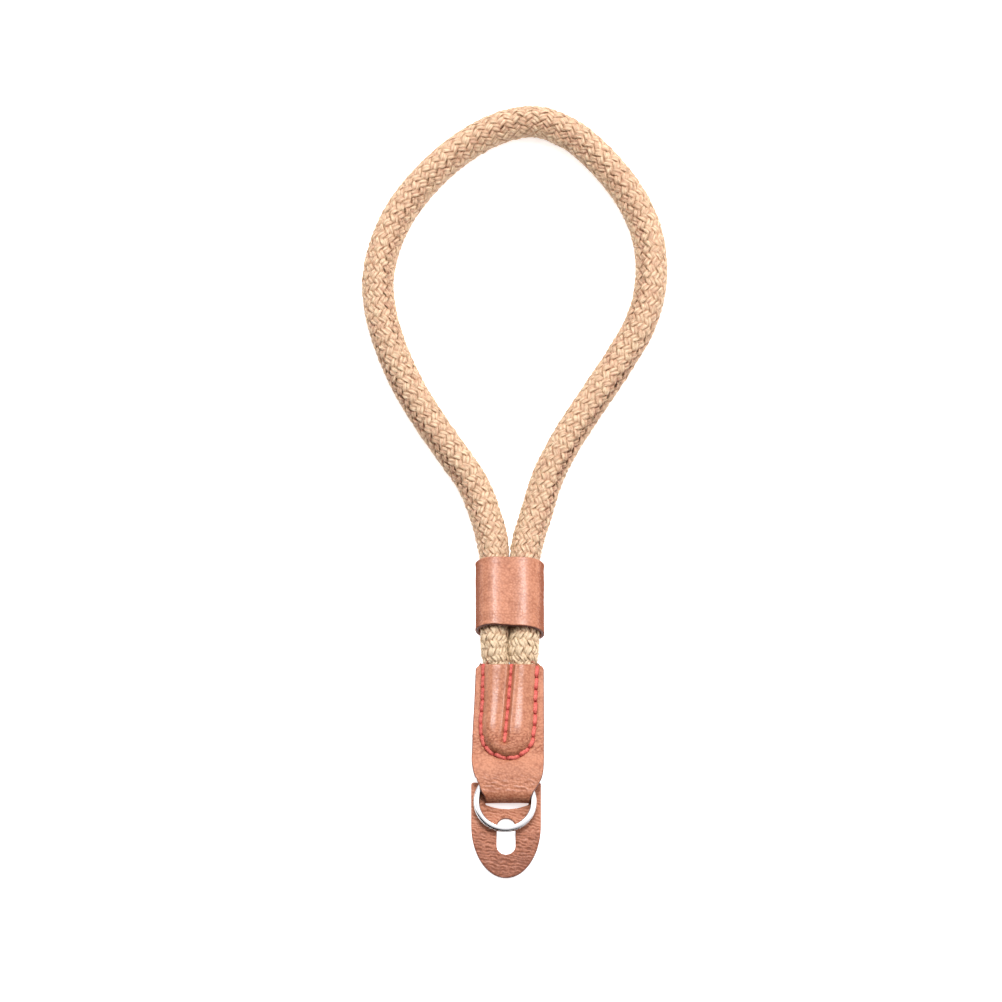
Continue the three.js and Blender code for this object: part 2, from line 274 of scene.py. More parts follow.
def cord_material():
    """Soft lustrous yarn whose colour paints shade by how deep each point lies: brown in the gaps,
    pinkish tan on its flanks, cream on its crowns as painted light.
    """
    material, tree, shader = new_material("cord_yarn")
    painted_depth_shade = attribute(tree, "painted_depth_shade")
    lay = attribute(tree, "lay", "Vector")
    streak = add(tree, "ShaderNodeMapping", {"Vector": lay, "Scale": (0.55, 3, 3.7)})
    streaks = add(tree, "ShaderNodeTexNoise", {
        "Vector": streak.outputs[0], "Scale": 1.0, "Detail": 3.0,
    })
    shade = maths(tree, "MULTIPLY_ADD", streaks.outputs["Fac"], 2.3, -1.15)
    colour = ramp(tree, maths(tree, "ADD", painted_depth_shade, shade), [
        (0.0, srgb(150, 105, 82)), (0.26, srgb(172, 125, 99)), (0.47, srgb(186, 144, 115)),
        (0.68, srgb(192, 156, 125)), (0.85, srgb(198, 167, 134)), (1.0, srgb(214, 189, 155)),
    ])
    tree.links.new(colour, shader.inputs["Base Color"])
    twist = add(tree, "ShaderNodeMapping", {
        "Vector": lay, "Rotation": (0, 0, 0.6), "Scale": (1, 2, 1),
    })
    fibres = add(tree, "ShaderNodeTexNoise", {
        "Vector": twist.outputs[0], "Scale": 3.5, "Detail": 3.0,
    })
    bump = add(tree, "ShaderNodeBump", {
        "Height": fibres.outputs["Fac"], "Strength": 0.8, "Distance": 0.00025,
    })
    tree.links.new(bump.outputs[0], shader.inputs["Normal"])
    shader.inputs["Roughness"].default_value = 0.45
    shader.inputs["Sheen Weight"].default_value = 0.5
    shader.inputs["Sheen Roughness"].default_value = 0.4
    shader.inputs["Sheen Tint"].default_value = srgb(255, 226, 170)
    return material


CUT_EDGE = srgb(104, 66, 56)


def leather_material(name, crest, mid, valley, grain, crease, relief, gloss):
    """Pebbled leather with creases where the attribute flex is high, its colour painted darker as
    shade along the crease lines and from a painted shade per point. Sizes are in metres.
    """
    material, tree, shader = new_material(name)
    place = add(tree, "ShaderNodeTexCoord").outputs["Object"]
    flex = attribute(tree, "flex")
    edge = attribute(tree, "edge")
    stretch = add(tree, "ShaderNodeMapping", {
        "Vector": place, "Scale": (0.42 / crease, 1 / crease, 1 / crease),
    })
    folds = add(tree, "ShaderNodeTexNoise", {
        "Vector": stretch.outputs[0], "Scale": 1.0, "Detail": 2.0, "Distortion": 0.6,
    })
    lines = add(tree, "ShaderNodeMapRange", {
        "Value": maths(tree, "ABSOLUTE", maths(tree, "SUBTRACT", folds.outputs["Fac"], 0.5), 0.0),
        "From Max": 0.1,
    }, interpolation_type="SMOOTHSTEP").outputs["Result"]
    pebbles = add(tree, "ShaderNodeTexVoronoi", {
        "Vector": place, "Scale": 1 / grain, "Randomness": 0.9,
    })
    dome = maths(tree, "SUBTRACT", 1.0, pebbles.outputs["Distance"])
    fine = add(tree, "ShaderNodeTexNoise", {"Vector": place, "Scale": 1.5 / grain, "Detail": 3.0})
    grained = maths(tree, "MULTIPLY", dome, 0.6)
    grained = maths(tree, "MULTIPLY_ADD", fine.outputs["Fac"], 0.4, grained)
    height = maths(tree, "MULTIPLY_ADD", lines, flex, grained)
    broad = add(tree, "ShaderNodeTexNoise", {"Vector": place, "Scale": 200.0, "Detail": 2.0})
    ground = maths(tree, "MULTIPLY_ADD", broad.outputs["Fac"], 0.3, -0.06)
    ground = maths(tree, "MULTIPLY_ADD", dome, 0.28, ground)
    # Painted shade: darker colour along the crease lines, lighter between them, where flex is high.
    creased = maths(tree, "MULTIPLY", maths(tree, "SUBTRACT", lines, 0.7), flex)
    painted_shade = attribute(tree, "painted_shade")
    # Painted shade from a value kept per point; below zero it paints light.
    ground = maths(tree, "MULTIPLY_ADD", painted_shade, -0.45, ground)
    level = maths(tree, "MULTIPLY_ADD", creased, 0.5, ground)
    colour = ramp(tree, level, [(0.0, valley), (0.3, mid), (0.7, crest)])
    cut = add(tree, "ShaderNodeMix", {"Factor": edge}, data_type="RGBA")
    tree.links.new(colour, cut.inputs[6])
    cut.inputs[7].default_value = CUT_EDGE
    tree.links.new(cut.outputs[2], shader.inputs["Base Color"])
    polish = attribute(tree, "polish")
    wear_and_painted_shade = maths(tree, "MULTIPLY_ADD", polish, -0.4, 1.0)
    bump = add(tree, "ShaderNodeBump", {"Height": height, "Strength": wear_and_painted_shade, "Distance": relief})
    tree.links.new(bump.outputs[0], shader.inputs["Normal"])
    dull = maths(tree, "MULTIPLY_ADD", polish, -0.15, gloss + 0.15)
    rough = maths(tree, "MULTIPLY_ADD", fine.outputs["Fac"], 0.14, dull)
    tree.links.new(rough, shader.inputs["Roughness"])
    shine = maths(tree, "MULTIPLY_ADD", polish, 0.35, 0.3)
    tree.links.new(shine, shader.inputs["Specular IOR Level"])
    return material


def steel_material():
    """Bright nickel plate with faint hairlines."""
    material, tree, shader = new_material("ring_nickel")
    place = add(tree, "ShaderNodeTexCoord").outputs["Object"]
    wear = add(tree, "ShaderNodeTexNoise", {"Vector": place, "Scale": 900.0, "Detail": 5.0})
    rough = add(tree, "ShaderNodeMapRange", {
        "Value": wear.outputs["Fac"], "To Min": 0.06, "To Max": 0.16,
    })
    tree.links.new(rough.outputs["Result"], shader.inputs["Roughness"])
    bump = add(tree, "ShaderNodeBump", {
        "Height": wear.outputs["Fac"], "Strength": 0.02, "Distance": 0.00002,
    })
    tree.links.new(bump.outputs[0], shader.inputs["Normal"])
    shader.inputs["Base Color"].default_value = (0.6, 0.595, 0.585, 1)
    shader.inputs["Metallic"].default_value = 1
    return material


def thread_material():
    """Waxed coral thread, painted darker near its ends as shade where it dives into the holes."""
    material, tree, shader = new_material("stitch_thread")
    place = add(tree, "ShaderNodeTexCoord").outputs["Object"]
    fibres = add(tree, "ShaderNodeTexNoise", {"Vector": place, "Scale": 2500.0, "Detail": 3.0})
    painted_shade = attribute(tree, "painted_shade")
    colour = ramp(tree, maths(tree, "MULTIPLY_ADD", painted_shade, -0.5, fibres.outputs["Fac"]), [
        (0.0, srgb(140, 44, 42)), (0.3, srgb(180, 76, 68)), (0.75, srgb(222, 122, 109)),
    ])
    tree.links.new(colour, shader.inputs["Base Color"])
    bump = add(tree, "ShaderNodeBump", {
        "Height": fibres.outputs["Fac"], "Strength": 0.4, "Distance": 0.00006,
    })
    tree.links.new(bump.outputs[0], shader.inputs["Normal"])
    shader.inputs["Roughness"].default_value = 0.7
    shader.inputs["Specular IOR Level"].default_value = 0.25
    return material


CORD_YARN = cord_material()
TAB_LEATHER = leather_material(
    "tab_leather", srgb(194, 137, 107), srgb(181, 121, 91), srgb(136, 77, 51),
    grain=0.0008, crease=0.0013, relief=0.00019, gloss=0.31,
)
PAD_LEATHER = leather_material(
    "pad_leather", srgb(191, 130, 99), srgb(161, 100, 72), srgb(114, 62, 38),
    grain=0.0006, crease=0.0013, relief=0.00011, gloss=0.34,
)
NICKEL = steel_material()
THREAD = thread_material()

# --- Braided cord ---------------------------------------------------------------------------------

CARRIERS = 10  # strands each way round
BRAID_LEAD = 44.4  # length of one full turn of a strand
STRAND_SLANT = math.atan(math.pi * CORD_DIAMETER / BRAID_LEAD)
STRAND_STATIONS = 880
PROUD = 0.3  # depth of a strand's middle under the cord's surface at its highest
DIP = 0.42  # how far a strand swings in and out
DWELL = 1.1  # how long a strand stays up, or down, before it changes over
# Section of a strand of two soft yarns lying side by side: across, outwards.
STRAND_SECTION = np.array([
    [-1.26, -0.1], [-1.04, 0.3], [-0.6, 0.46], [-0.2, 0.34], [0, 0.18], [0.2, 0.34], [0.6, 0.46],
    [1.04, 0.3], [1.26, -0.1], [0, -0.42],
])
# Loose columns of the braid, whose strands sink and are coloured darker as painted shade: angle
# round the cord, its turn per mm from the loop's top, how strong it is, where it starts to show and
# shows fully, and where it starts to fade and is gone.
FURROWS = np.array([
    [2.1, 0.0018, 1, -2, -1, 80, 125],
    [0, 0.0042, 1.9, 80, 115, 148, 170],
    [0, 0.0042, 0.8, 148, 170, 400, 401],
])
FURROW_WIDTH = 0.27  # radians
CORE_DEPTH = 1.25
FUZZ_COUNT = 9500


def route_line():
    """Closely spaced points of the centripetal curve through the route."""
    ends = (2 * ROUTE[0] - ROUTE[1], 2 * ROUTE[-1] - ROUTE[-2])
    knots = np.vstack([ends[0], ROUTE, ends[1]])
    line = []
    for p0, p1, p2, p3 in zip(knots, knots[1:], knots[2:], knots[3:]):
        d0, d1, d2 = (np.linalg.norm(b - a) ** 0.5 for a, b in ((p0, p1), (p1, p2), (p2, p3)))
        leave = ((p1 - p0) / d0 - (p2 - p0) / (d0 + d1) + (p2 - p1) / d1) * d1
        reach = ((p2 - p1) / d1 - (p3 - p1) / (d1 + d2) + (p3 - p2) / d2) * d1
        t = np.arange(40)[:, None] / 40
        bend = 2 * p1 - 2 * p2 + leave + reach
        line.append(p1 + leave * t + (3 * (p2 - p1) - 2 * leave - reach) * t**2 + bend * t**3)
    line.append(ROUTE[-1:])
    return np.vstack(line)


class Cord:
    """The cord's centreline with its section, read at a length along it."""

    def __init__(self):
        line = route_line()
        self.line = line
        self.marks = run_along(line)
        self.length = self.marks[-1]
        self.tangents = unit(np.gradient(line, self.marks, axis=0))
        soften = np.hanning(21) / np.hanning(21).sum()
        along = line[:, 1]
        left, right, height = (np.interp(along, SQUEEZE[:, 0], SQUEEZE[:, k]) for k in (1, 2, 3))
        self.half = []
        for size in (np.where(line[:, 0] < 0, left, right), height):
            padded = np.pad(size / 2, 10, mode="edge")
            self.half.append(np.convolve(padded, soften, mode="valid"))

    def read(self, table, s):
        if table.ndim == 1:
            return np.interp(s, self.marks, table)
        return np.stack([np.interp(s, self.marks, table[:, k]) for k in range(3)], axis=-1)

    def surface(self, s, angle, below):
        """A point below the cord's surface, the way outwards, and the cord's share of free size."""
        tangent = unit(self.read(self.tangents, s))
        across = unit(np.cross(UP, tangent))
        up = np.cross(tangent, across)
        wide, tall = self.read(self.half[0], s), self.read(self.half[1], s)
        c, k = np.cos(angle), np.sin(angle)
        side = ((wide - below) * c)[..., None] * across
        rise = ((tall - below) * k)[..., None] * up
        outwards = unit((c * tall)[..., None] * across + (k * wide)[..., None] * up)
        return self.read(self.line, s) + side + rise, outwards, (wide + tall) / CORD_DIAMETER


CORD = Cord()
RANDOM = np.random.default_rng(7)


def wander(s, wavelength, size, count):
    """Slow seeded waves along the cord, one row for each strand."""
    total = np.zeros((count, len(s)))
    for k in (1.0, 1.7, 2.9):
        phase = RANDOM.uniform(0, 2 * math.pi, (count, 1))
        total += np.sin(2 * math.pi * k * s / wavelength + phase) / k
    return size * total / 1.7


def looseness(angle, from_top):
    """How loose the braid is at an angle round the cord and a distance from the loop's top."""
    total = 0
    for start, twist, strength, *fade in FURROWS:
        aside = np.remainder(angle - start - twist * from_top + math.pi, 2 * math.pi) - math.pi
        shown = smoothstep(from_top, *fade[:2]) * (1 - smoothstep(from_top, *fade[2:]))
        total = total + strength * shown * np.exp(-((aside / FURROW_WIDTH) ** 2))
    return total


def braid_strands(name, turn):
    """All strands that wind one way, over one and under one of the others."""
    s = np.linspace(0, CORD.length, STRAND_STATIONS)
    strand = np.arange(CARRIERS)[:, None]
    crossing = 2 * CARRIERS * s[None, :] / BRAID_LEAD + wander(s, 23, 0.06, CARRIERS)
    swing = turn * np.tanh(DWELL * np.cos(math.pi * crossing)) / math.tanh(DWELL)
    tightness = 1 + wander(s, 15, 0.1, CARRIERS)
    below = PROUD + DIP * (1 - swing * tightness)
    angle = 2 * math.pi * (strand / CARRIERS + turn * s[None, :] / BRAID_LEAD)
    angle = angle + wander(s, 11, 0.02, CARRIERS)
    furrow = looseness(angle, np.abs(s - CORD.length / 2)[None, :])
    sunk = furrow * (0.5 - 0.5 * swing)
    below = below + 0.5 * sunk
    along = np.broadcast_to(s, angle.shape)
    centre, outwards, scale = CORD.surface(along, angle, below)
    forward = unit(np.gradient(centre, axis=1))
    lateral = unit(np.cross(outwards, forward))
    outwards = np.cross(forward, lateral)
    roll = wander(s, 9, 0.15, CARRIERS)[..., None]
    swell = (1 + wander(s, 9, 0.08, CARRIERS) - 0.22 * furrow)[..., None]
    across, rise = STRAND_SECTION.T
    yarns = [1 + wander(s, 6, 0.2, CARRIERS)[..., None] for _ in range(2)]
    rise = rise * np.where(rise > 0, np.where(across < 0, *yarns), 1)
    turned_across = across * np.cos(roll) - rise * np.sin(roll)
    turned_rise = across * np.sin(roll) + rise * np.cos(roll)
    section = np.stack([turned_across * scale[..., None], turned_rise], axis=-1) * swell[..., None]
    points = sweep(centre, lateral, outwards, section)
    points[..., 2] = np.maximum(points[..., 2], 0.01)
    sides = len(STRAND_SECTION)
    faces = []
    for k in range(CARRIERS):
        faces += tube_faces(len(s), sides, k * len(s) * sides)
    piece = make_piece(name, points, faces, CORD_YARN, "strap")
    # Painted shade: the deeper a point lies in the braid, the darker it is coloured.
    painted_depth_shade = 1 - np.clip((below[..., None] - section[..., 1] + 0.16) / (2 * DIP + 0.45), 0, 1)
    # Painted light: lighter colour between the tab and the collar, where they shade the cord.
    near = smoothstep(centre[..., 1], 66, 71) * (1 - smoothstep(centre[..., 1], 76, 84))
    # Painted shade: the loose columns are coloured darker, more where their strands lie low.
    darker = furrow * (0.6 - 0.4 * swing)
    shade = 0.85 * painted_depth_shade + 0.45 * near[..., None] - 0.45 * darker[..., None]
    store(piece, "painted_depth_shade", shade.ravel())
    lay = np.empty(points.shape)
    lay[..., 0] = along[..., None] / math.cos(STRAND_SLANT)
    lay[..., 1] = STRAND_SECTION[:, 0]
    lay[..., 2] = (strand * 1.0)[..., None]
    store(piece, "lay", lay.reshape(-1, 3))
    return piece


def cord_core():
    """The cord's heart that shows between its strands, coloured with the darkest painted shade."""
    s = np.linspace(0, CORD.length, 260)
    sides = 22
    angle = np.linspace(0, 2 * math.pi, sides, endpoint=False)
    along, around = np.meshgrid(s, angle, indexing="ij")
    points, _, _ = CORD.surface(along, around, np.full(along.shape, CORE_DEPTH))
    piece = make_piece("cord_core", points, tube_faces(len(s), sides), CORD_YARN, "strap")
    store(piece, "painted_depth_shade", np.zeros(points.shape[0] * points.shape[1]))
    store(piece, "lay", points.reshape(-1, 3))
    return piece


def cord_fuzz(count):
    """Short loose fibres that lie over the strands, each a thin closed sliver."""
    share = np.linspace(-0.5, 0.5, 3)
    middle = RANDOM.uniform(1.5, CORD.length - 1.5, (count, 1))
    around = RANDOM.uniform(0, 2 * math.pi, (count, 1))
    lean = RANDOM.choice([-STRAND_SLANT, STRAND_SLANT], (count, 1))
    lean = lean + RANDOM.normal(0, 0.35, (count, 1))
    reach = RANDOM.uniform(1.4, 3.2, (count, 1))
    along = middle + reach * np.cos(lean) * share
    angle = around + 2 * reach * np.sin(lean) * share / CORD_DIAMETER
    proud = RANDOM.uniform(0.05, 0.3, (count, 1)) * (1 - 4 * share**2) - 0.12
    centre, outwards, _ = CORD.surface(along, angle, -proud)
    forward = unit(np.gradient(centre, axis=1))
    lateral = unit(np.cross(outwards, forward))
    turn = np.array([90, 210, 330]) * math.pi / 180
    thick = np.array([0.03, 0.055, 0.03])[:, None, None]
    section = thick * np.stack([np.cos(turn), np.sin(turn)], axis=-1)
    points = sweep(centre, lateral, np.cross(forward, lateral), section[None])
    points[..., 2] = np.maximum(points[..., 2], 0.01)
    faces = []
    for k in range(count):
        faces += tube_faces(3, 3, 9 * k)
    piece = make_piece("cord_fuzz", points, faces, CORD_YARN, "strap")
    store(piece, "painted_depth_shade", np.repeat(RANDOM.uniform(0.75, 1.15, count), 9))
    store(piece, "lay", points.reshape(-1, 3))
    return piece


strands = braid_strands("cord_strands_right", 1)
others = braid_strands("cord_strands_left", -1)
core = cord_core()
fuzz = cord_fuzz(FUZZ_COUNT)
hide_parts("cord_loop")
path = to_frame(CORD.read(CORD.line, np.linspace(0, CORD.length, 240)))
exit_point = to_frame([ROUTE[1]])[0]

# --- Leather tab ----------------------------------------------------------------------------------

# The U of stitches round both cord ends, and the line between them.
STITCH_U = np.array([
    [-9.7, 70.7], [-9.95, 60], [-10.3, 47], [-9.8, 44.2], [-8.4, 41.5], [-4.9, 39.2], [-2.4, 38.5],
    [0.2, 38.8], [2.85, 40.6], [5, 43.3], [5.86, 48.2], [6.5, 62.4], [6.97, 70.7],
])
STITCH_MIDDLE = np.array([[-0.95, 70], [-2, 57], [-3.2, 43.6]])
STITCH_PITCH, STITCH_LENGTH, THREAD_RADIUS = 4.15, 3.5, 0.66
# How far in from the U, and out from the middle seam, the leather reaches its full height over the
# left and the right cord end, and the share of it that is left at the middle seam.
RIDGE_REACH, VALLEY_REACH, VALLEY_SHARE = (3.5, 4.7), (4.3, 3.3), 0.42
RIDGE_HEIGHT, MOUTH_EXTRA, BACK_HEIGHT = 3.5, 0.7, 3.4
SEAM_PULL, SEAM_PULL_WIDTH = 0.3, 0.85
HOLE_PULL, HOLE_PULL_WIDTH = 0.5, 0.5
PLEAT_OFFSET, PLEAT_WIDTH, PLEAT_HEIGHT = 1.35, 0.42, 0.52
TAB_COLUMNS, FRONT_ROWS, FOLD_ROWS, BACK_ROWS = 84, 154, 32, 118


def rounded(path, spacing):
    """Points at an even spacing on a smooth curve through a path of x, y pairs."""
    steps = run_along(path)
    table = np.column_stack([steps, path])
    marks = np.linspace(0, steps[-1], 40 * len(path))
    fine = np.column_stack([curve_through(table, marks, 1), curve_through(table, marks, 2)])
    run = run_along(fine)
    at = np.arange(0, run[-1] + 1e-6, spacing)
    return np.column_stack([np.interp(at, run, fine[:, k]) for k in (0, 1)])


def distance_to(path, x, y):
    """How far each point is from a line of x, y pairs."""
    place = np.stack([x, y], axis=-1)
    nearest = np.full(x.shape, np.inf)
    for a, b in zip(path, path[1:]):
        along = b - a
        share = np.clip(((place - a) @ along) / (along @ along), 0, 1)
        nearest = np.minimum(nearest, np.linalg.norm(place - a - share[..., None] * along, axis=-1))
    return nearest


def inside(outline, x, y):
    crossed = np.zeros(x.shape, dtype=bool)
    for (ax, ay), (bx, by) in zip(outline, np.roll(outline, -1, axis=0)):
        if ay != by:
            crossed ^= ((ay > y) != (by > y)) & (x < (bx - ax) * (y - ay) / (by - ay) + ax)
    return crossed


U_LINE = rounded(STITCH_U, 0.8)
MIDDLE_LINE = rounded(STITCH_MIDDLE, 0.8)
U_OUTLINE = np.vstack([U_LINE[0] + [0, 12], U_LINE, U_LINE[-1] + [0, 12]])
MIDDLE_OPEN = np.vstack([MIDDLE_LINE[0] + [0, 12], MIDDLE_LINE])


def stitch_spans(line):
    """Start and end of each stitch along a line, from its first point on."""
    run = run_along(line)
    gap = STITCH_PITCH - STITCH_LENGTH
    count = round((run[-1] + gap) / STITCH_PITCH)
    starts = (run[-1] + gap) / count * np.arange(count)

    def at(marks):
        return np.column_stack([np.interp(marks, run, line[:, k]) for k in (0, 1)])

    return [at(np.linspace(a, a + STITCH_LENGTH, 9)) for a in starts]


STITCHES = stitch_spans(U_LINE) + stitch_spans(MIDDLE_LINE)
HOLES = np.array([end for stitch in STITCHES for end in (stitch[0], stitch[-1])])


def middle_seam(y):
    return np.interp(y, STITCH_MIDDLE[::-1, 1], STITCH_MIDDLE[::-1, 0])


def bulge(x, y):
    """Share of the full height that the leather stands up over the cord ends."""
    edge = np.where(inside(U_OUTLINE, x, y), distance_to(U_OUTLINE, x, y), 0)
    right = smoothstep(x - middle_seam(y), -0.6, 0.6)
    ridge_reach, valley_reach = (a + (b - a) * right for a, b in (RIDGE_REACH, VALLEY_REACH))
    dome = (1 - (1 - np.clip(edge / ridge_reach, 0, 1)) ** 2.2) ** 0.62
    middle = np.clip(distance_to(MIDDLE_OPEN, x, y) / valley_reach, 0, 1)
    valley = VALLEY_SHARE + (1 - VALLEY_SHARE) * (1 - (1 - middle) ** 2.2) ** 0.7
    return dome * valley


def pulled_in(x, y, holes=True):
    """How far the thread pulls the leather in along the seams."""
    seam = np.minimum(distance_to(U_LINE, x, y), distance_to(MIDDLE_LINE, x, y))
    pull = SEAM_PULL * np.exp(-((seam / SEAM_PULL_WIDTH) ** 2))
    if holes:
        hole = np.full(x.shape, np.inf)
        for hx, hy in HOLES:
            hole = np.minimum(hole, (x - hx) ** 2 + (y - hy) ** 2)
        pull = pull + HOLE_PULL * np.exp(-hole / HOLE_PULL_WIDTH**2)
    return pull


def pleat(x, y):
    """Narrow crests in the leather along both sides of the middle seam."""
    off_crest = (np.abs(x - middle_seam(y)) - PLEAT_OFFSET) / PLEAT_WIDTH
    return np.exp(-(off_crest**2)) * smoothstep(y, 44, 48)


def front_face(x, y, holes=True):
    height = RIDGE_HEIGHT + MOUTH_EXTRA * smoothstep(y, 60, 70)
    over_cords = height * bulge(x, y) + PLEAT_HEIGHT * pleat(x, y)
    return curve_through(TAB_FRONT, y, 1) + over_cords - pulled_in(x, y, holes)


def back_face(x, y, holes=True):
    rise = (SEAM_HEIGHT - LEATHER) * smoothstep(y, *BACK_RISE)
    return rise - BACK_HEIGHT * bulge(x, y) + pulled_in(x, y, holes) * smoothstep(rise, 1, 3)


def tab_half_width(y):
    corner = np.clip(y - (TAB_MOUTH - TAB_CORNER), 0, TAB_CORNER)
    cut = TAB_CORNER - np.sqrt(TAB_CORNER**2 - corner**2)
    return curve_through(TAB_OUTLINE, y, 2) - cut


def folded_sheet():
    """Outer face of the folded strip: down the front, round the fold, up the back."""
    inset = 0.3
    across = np.linspace(-1, 1, TAB_COLUMNS)
    mouth_x = curve_through(TAB_OUTLINE, np.array([TAB_MOUTH]), 1) + across * 10.5
    mouth = TAB_MOUTH + 0.1 - 1.7 * bulge(mouth_x, np.full(across.shape, TAB_MOUTH))
    down = np.linspace(1, 0, FRONT_ROWS)[:, None]
    front_y = FOLD_CENTRE + (mouth - FOLD_CENTRE) * down
    turn = np.linspace(0, math.pi, FOLD_ROWS)[1:-1, None] + np.zeros((1, across.size))
    fold_y = FOLD_CENTRE - FOLD_RADIUS * np.sin(turn)
    up = np.linspace(0, 1, BACK_ROWS)[:, None]
    back_y = FOLD_CENTRE + (mouth - FOLD_CENTRE) * up
    y = np.vstack([front_y, fold_y, back_y])
    half_width = tab_half_width(y) - inset + 0.25 * (1 - smoothstep(y, 26, 29))
    upper = front_y.shape[0] + turn.shape[0] // 2
    tapered = np.minimum(curve_through(FRONT_TAPER, y[:upper], 1), FRONT_TAPER[-1, 1])
    taper_here = y[:upper] < FRONT_TAPER[-1, 0]
    half_width[:upper] = np.where(taper_here, tapered - inset, half_width[:upper])
    tucked = smoothstep(back_y, FOLD_CENTRE, 30) * (1 - smoothstep(back_y, 35, 44))
    half_width[-back_y.shape[0]:] -= 1.6 * tucked
    x = curve_through(TAB_OUTLINE, y, 1) + across * half_width
    x[:upper] += 0.15 * (1 - smoothstep(y[:upper], 25, 31))
    rows = (front_y.shape[0], turn.shape[0])
    front, fold, back = np.split(np.arange(y.shape[0]), np.cumsum(rows))
    z = np.empty(y.shape)
    z[front] = front_face(x[front], y[front])
    z[fold] = FOLD_RADIUS + FOLD_RADIUS * np.cos(turn)
    z[back] = back_face(x[back], y[back])
    return np.stack([x, y, z], axis=-1), (front, fold, back)


def tab_creases(outer, parts):
    """Small folds across the lower end of the cords and soft unevenness everywhere."""
    x, y = outer[..., 0], outer[..., 1]
    flat = np.stack([x, y, np.zeros(x.shape)], axis=-1)
    soft = 0.1 * smooth_noise(flat, 5.0, 1) + 0.05 * smooth_noise(flat, 2.2, 2)
    ripples = smooth_noise(flat * [0.45, 1.25, 1], 1.1, 3)
    near = smoothstep(y, 41, 44) * (1 - smoothstep(y, 47.5, 53)) * (1 - smoothstep(x, -4, 3))
    lower = smoothstep(y, 40, 42) * (1 - smoothstep(y, 44, 50)) * 0.35
    crease = 0.15 * ripples * np.maximum(near, lower)
    fold = smoothstep(y, 26.2, 27.8) * (1 - smoothstep(y, 30, 34))
    run = np.stack([0.6 * x, outer[..., 2] - y, np.zeros(x.shape)], axis=-1)
    phase = run[..., 1] - 0.12 * x + 0.7 * smooth_noise(run, 1.2, 4)
    folded = np.cos(2 * math.pi * phase / 1.05) * np.clip(0.5 + smooth_noise(run, 1.1, 12), 0, 1)
    folded = folded * fold * (outer[..., 2] > FOLD_RADIUS)
    keep = np.ones(x.shape)
    keep[parts[2]] = smoothstep(outer[parts[2]][..., 2], 0.1, 1.2)
    return (soft + crease + 0.14 * folded) * keep, np.clip(1.6 * folded, 0, 1)


def sheet_normal(outer):
    return unit(np.cross(np.gradient(outer, axis=0), np.gradient(outer, axis=1)))


def sheet_with_thickness(outer, thickness):
    """Loops of points round each row of a sheet: outer face, edge, inner face, other edge."""
    inner = outer - thickness * sheet_normal(outer)
    sides = []
    for column, sign in ((-1, 1), (0, -1)):
        away = sign * unit(np.gradient(outer, axis=1)[:, column])
        span = inner[:, column] - outer[:, column]
        bow = [(0.14, 0.2), (0.5, 0.3), (0.86, 0.2)]
        if sign < 0:
            bow = bow[::-1]
        edge = [outer[:, column] + share * span + push * away for share, push in bow]
        sides.append(np.stack(edge, axis=1))
    return np.concatenate([outer, sides[0], inner[:, ::-1], sides[1]], axis=1)


def sheet_faces(rows, columns, edge):
    """Faces of a sheet made of loops, with its two ends closed."""
    loop = 2 * (columns + edge)
    faces = tube_faces(rows, loop)[:-2]
    for start, forward in ((0, False), ((rows - 1) * loop, True)):
        caps = []
        for j in range(columns - 1):
            far = 2 * columns + edge - 1 - j
            caps.append([start + k for k in (j, j + 1, far - 1, far)])
        caps.append([start + columns - 1 + k for k in range(edge + 2)])
        caps.append([start + 2 * columns + edge - 1 + k for k in range(edge + 1)] + [start])
        faces += caps if forward else [cap[::-1] for cap in caps]
    return faces


def make_tab():
    outer, parts = folded_sheet()
    move, rubbed = tab_creases(outer, parts)
    x, y = outer[..., 0], outer[..., 1]
    crest = smoothstep(bulge(x, y), 0.972, 1) * smoothstep(y, 45, 50)
    front = outer[..., 2] > FOLD_RADIUS
    rubbed = np.clip(rubbed + front * (crest + pleat(x, y)), 0, 1)
    outer = outer + move[..., None] * sheet_normal(outer)
    loops = sheet_with_thickness(outer, LEATHER - 0.03)
    columns = outer.shape[1]
    middle = (loops + loops[:, (2 * columns + 2 - np.arange(loops.shape[1])) % loops.shape[1]]) / 2
    ends = []
    for row in (0, -1):
        ends.append(middle[row] + 0.55 * (loops[row] - middle[row]) + [0, 0.22, 0])
    loops = np.concatenate([ends[0][None], loops, ends[1][None]])
    faces = sheet_faces(loops.shape[0], columns, 3)
    tab = make_piece("tab_leather", loops, faces, TAB_LEATHER, "strap")
    y = loops[..., 1]
    fold = 1 - smoothstep(y, 28, 37)
    dome = smoothstep(y, 38, 42) * (1 - smoothstep(y, 44, 52)) * 0.5
    store(tab, "flex", (0.08 + 0.06 * fold + 0.6 * dome).ravel())
    # Painted shade: darker on the slope below the cord ends and round the fold.
    bent = 1 - smoothstep(y, 25, 29)
    store(tab, "painted_shade", (0.35 * dome + 0.2 * bent).ravel())
    polish = np.zeros(loops.shape[:2])
    polish[1:-1, :columns] = rubbed
    store(tab, "polish", polish.ravel())
    edge = np.zeros(loops.shape[:2])
    edge[:, columns:columns + 3] = 1
    edge[:, -3:] = 1
    edge[[0, -1]] = 0.35
    store(tab, "edge", edge.ravel())
    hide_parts("tab")


